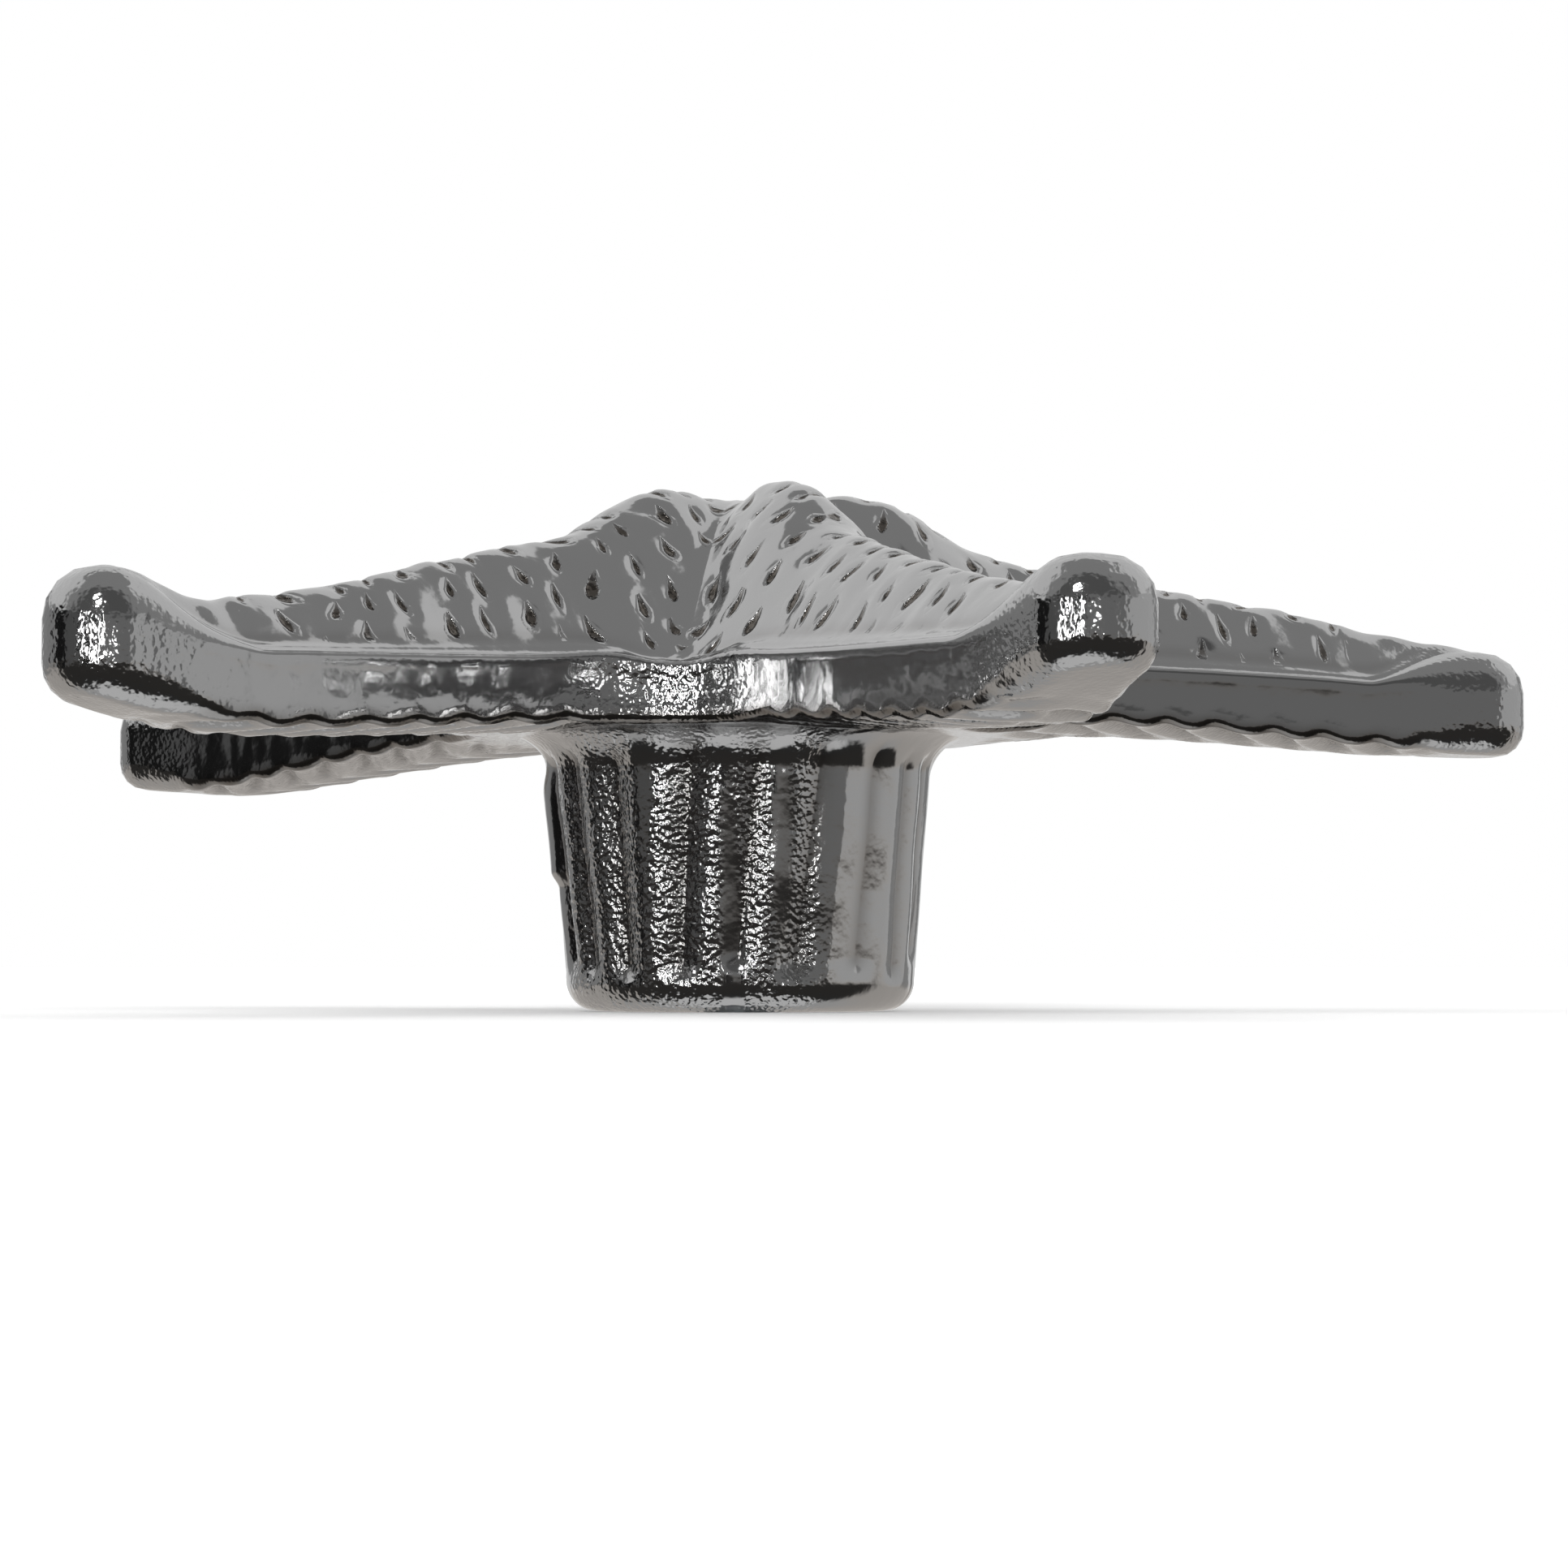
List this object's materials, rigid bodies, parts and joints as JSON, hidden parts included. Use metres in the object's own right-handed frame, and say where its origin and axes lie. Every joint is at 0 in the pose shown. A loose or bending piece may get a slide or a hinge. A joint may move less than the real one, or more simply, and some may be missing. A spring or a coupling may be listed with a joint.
{
  "type": "cabinet knob",
  "caption": "Starfish-shaped cast metal cabinet knob on a fluted post, with its fixing screw and washer.",
  "frame": {"origin": "centre of the post's seat face, which lies on the drawer front", "axes": "+Z away from the drawer front, out through the crown; -Y between the two arms that curl up; +Y along the opposite arm"},
  "size_m": [0.0744, 0.0711, 0.0479],
  "materials": {
    "cast_knob": "bright plated zinc alloy casting with a fine cast grain",
    "zinc_plated_steel": "zinc plated, satin"
  },
  "bodies": {
    "knob": {"knob_casting": "cast_knob", "threaded_insert": "zinc_plated_steel"},
    "washer": {"plain_washer": "zinc_plated_steel"},
    "screw": {"mounting_screw": "zinc_plated_steel"}
  },
  "joints": [
    {"name": "screw_travel", "type": "slide", "parent": "knob", "child": "washer", "axis": [0, 0, -1], "range_m": [0, 0.0098]},
    {"name": "screw_turn", "type": "hinge", "parent": "washer", "child": "screw", "pos_m": [0, 0, 0], "axis": [0, 0, -1], "range_deg": [0, 5040]}
  ],
  "couplings": [
    {"joint": "screw_turn", "follows": "screw_travel", "rad_per_m": 8976}
  ]
}
